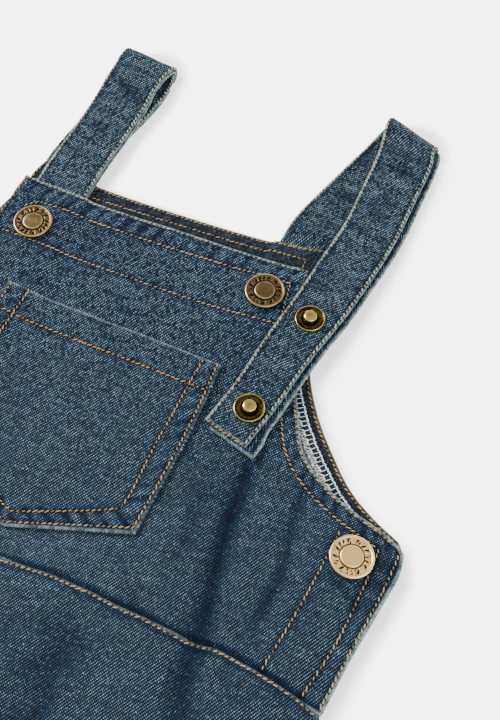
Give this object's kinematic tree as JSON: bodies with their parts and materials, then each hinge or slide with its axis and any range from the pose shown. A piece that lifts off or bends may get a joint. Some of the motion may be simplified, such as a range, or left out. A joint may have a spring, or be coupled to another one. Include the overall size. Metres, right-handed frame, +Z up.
{
  "type": "dungaree bodysuit",
  "caption": "Child's denim dungaree bodysuit laid flat, with a bib pocket, a fastened left strap and an open right strap folded over the bib.",
  "frame": {"origin": "middle of the garment's footprint, on the surface it lies on", "axes": "+Y from the crotch towards the top of the straps, +X towards the viewer's right across the front, +Z up out of the front"},
  "size_m": [0.2886, 0.4386, 0.0137],
  "materials": {
    "denim": "washed indigo denim with light worn edges and gold topstitching",
    "denim_inside": "darker washed denim of the back and of what lies in shadow",
    "overlocked_hem": "turned hem with a white overlocked edge",
    "dark_brass": "antique, dark in the recesses",
    "pale_brass": "lighter antique",
    "olive_brass": "polished"
  },
  "bodies": {
    "root": {"front_upper": "denim", "front_lower": "denim", "back_upper": "denim_inside", "back_lower": "denim_inside", "pocket": "denim", "armhole_hem_left": "overlocked_hem", "armhole_hem_right": "overlocked_hem", "strap_left_face": "denim", "strap_left_lining": "denim", "strap_right_face": "denim", "strap_right_lining": "denim", "bib_button_left": "dark_brass", "bib_button_right": "dark_brass", "side_button_left": "pale_brass", "side_button_right": "pale_brass", "stud_left_upper": "olive_brass", "stud_left_lower": "olive_brass", "stud_right_upper": "olive_brass", "stud_right_lower": "olive_brass", "crotch_snap_left": "dark_brass", "crotch_snap_middle": "dark_brass", "crotch_snap_right": "dark_brass"}
  },
  "joints": []
}
